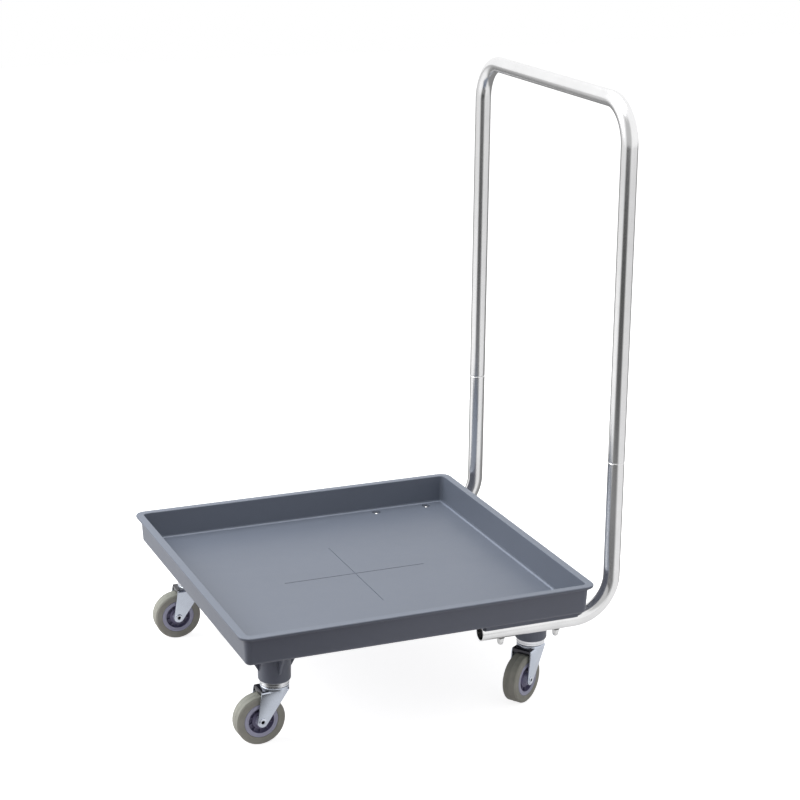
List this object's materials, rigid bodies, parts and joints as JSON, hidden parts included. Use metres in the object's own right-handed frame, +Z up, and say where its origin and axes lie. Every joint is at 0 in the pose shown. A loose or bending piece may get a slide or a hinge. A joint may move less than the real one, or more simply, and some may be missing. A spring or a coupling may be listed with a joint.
{
  "type": "rack dolly with push handle",
  "caption": "Square shallow plastic tray dolly on swivel casters, with a bent tube push handle bolted under its rear edge.",
  "frame": {"origin": "centre of the overall footprint, on the floor under the wheels", "axes": "+Z up, +Y towards the handle and the person pushing, +X to the left of that person"},
  "size_m": [0.56, 0.6125, 0.924],
  "materials": {
    "tray_plastic": "moulded blue-grey polypropylene, satin floor",
    "handle_chrome": "bright chromed steel tube",
    "inner_steel": "plain drawn tube",
    "fastener_steel": "bright stainless",
    "insert_brass": "turned, threaded",
    "zinc": "bright zinc plate",
    "race_chrome": "bright plated pressing",
    "fork_zinc": "bluish bright zinc plate",
    "ball_steel": "polished bearing balls",
    "core_plastic": "grey-violet moulded polypropylene",
    "tyre_rubber": "grey non-marking thermoplastic rubber"
  },
  "bodies": {
    "cart": {"tray": "tray_plastic", "handle_upper": "handle_chrome", "handle_lower_left": "handle_chrome", "handle_lower_right": "handle_chrome", "handle_spigots": "inner_steel", "handle_bolts": "fastener_steel", "handle_washers": "fastener_steel", "handle_nuts": "fastener_steel", "caster_inserts": "insert_brass", "front_left_stem": "zinc", "front_left_race_cap": "race_chrome", "front_left_race_balls": "ball_steel", "front_right_stem": "zinc", "front_right_race_cap": "race_chrome", "front_right_race_balls": "ball_steel", "rear_left_stem": "zinc", "rear_left_race_cap": "race_chrome", "rear_left_race_balls": "ball_steel", "rear_right_stem": "zinc", "rear_right_race_cap": "race_chrome", "rear_right_race_balls": "ball_steel"},
    "front_left_swivel": {"front_left_fork": "fork_zinc", "front_left_axle": "zinc", "front_left_axle_sleeve": "zinc"},
    "front_left_wheel": {"front_left_wheel_core": "core_plastic", "front_left_tyre": "tyre_rubber"},
    "front_right_swivel": {"front_right_fork": "fork_zinc", "front_right_axle": "zinc", "front_right_axle_sleeve": "zinc"},
    "front_right_wheel": {"front_right_wheel_core": "core_plastic", "front_right_tyre": "tyre_rubber"},
    "rear_left_swivel": {"rear_left_fork": "fork_zinc", "rear_left_axle": "zinc", "rear_left_axle_sleeve": "zinc"},
    "rear_left_wheel": {"rear_left_wheel_core": "core_plastic", "rear_left_tyre": "tyre_rubber"},
    "rear_right_swivel": {"rear_right_fork": "fork_zinc", "rear_right_axle": "zinc", "rear_right_axle_sleeve": "zinc"},
    "rear_right_wheel": {"rear_right_wheel_core": "core_plastic", "rear_right_tyre": "tyre_rubber"}
  },
  "joints": [
    {"name": "front_left_swivel_turn", "type": "hinge", "parent": "cart", "child": "front_left_swivel", "pos_m": [0.207, -0.23325, 0.09], "axis": [0, 0, 1], "continuous": true},
    {"name": "front_left_wheel_roll", "type": "hinge", "parent": "front_left_swivel", "child": "front_left_wheel", "pos_m": [0.20787, -0.25823, 0.0375], "axis": [0.9994, 0.0349, 0], "continuous": true},
    {"name": "front_right_swivel_turn", "type": "hinge", "parent": "cart", "child": "front_right_swivel", "pos_m": [-0.207, -0.23325, 0.09], "axis": [0, 0, 1], "continuous": true},
    {"name": "front_right_wheel_roll", "type": "hinge", "parent": "front_right_swivel", "child": "front_right_wheel", "pos_m": [-0.20787, -0.25823, 0.0375], "axis": [0.9994, -0.0349, 0], "continuous": true},
    {"name": "rear_left_swivel_turn", "type": "hinge", "parent": "cart", "child": "rear_left_swivel", "pos_m": [0.207, 0.18075, 0.09], "axis": [0, 0, 1], "continuous": true},
    {"name": "rear_left_wheel_roll", "type": "hinge", "parent": "rear_left_swivel", "child": "rear_left_wheel", "pos_m": [0.22062, 0.15978, 0.0375], "axis": [0.8387, 0.5446, 0], "continuous": true},
    {"name": "rear_right_swivel_turn", "type": "hinge", "parent": "cart", "child": "rear_right_swivel", "pos_m": [-0.207, 0.18075, 0.09], "axis": [0, 0, 1], "continuous": true},
    {"name": "rear_right_wheel_roll", "type": "hinge", "parent": "rear_right_swivel", "child": "rear_right_wheel", "pos_m": [-0.20352, 0.15599, 0.0375], "axis": [0.9903, 0.1392, 0], "continuous": true}
  ]
}
